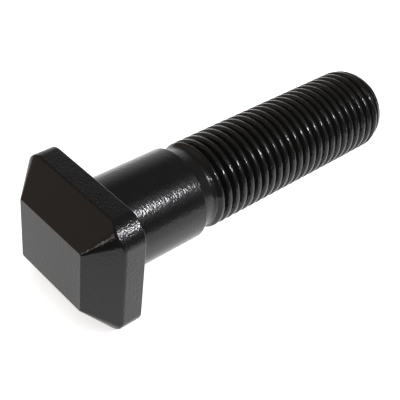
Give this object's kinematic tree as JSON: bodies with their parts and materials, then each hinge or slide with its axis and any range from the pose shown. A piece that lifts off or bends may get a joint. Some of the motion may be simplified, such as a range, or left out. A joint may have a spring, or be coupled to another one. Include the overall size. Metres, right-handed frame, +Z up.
{
  "type": "wheel bolt",
  "caption": "Wheel bolt in black steel with a tapered rectangular head, a plain shank, a rolled neck and a long thread, lying at rest.",
  "frame": {"origin": "centre of the bearing face under the head, on the bolt's axis", "axes": "+X runs from the head to the tip along the floor; the bolt's own axis leans down from it by about 2.8 degrees, because the bolt lies on its head and its thread. +Z is up. The long side of the head lies along Y."},
  "size_m": [0.0873, 0.0298, 0.0264],
  "materials": {
    "black_steel": "black phosphate coating on steel, lightly oiled, satin"
  },
  "bodies": {
    "root": {"wheel_bolt": "black_steel"}
  },
  "joints": []
}
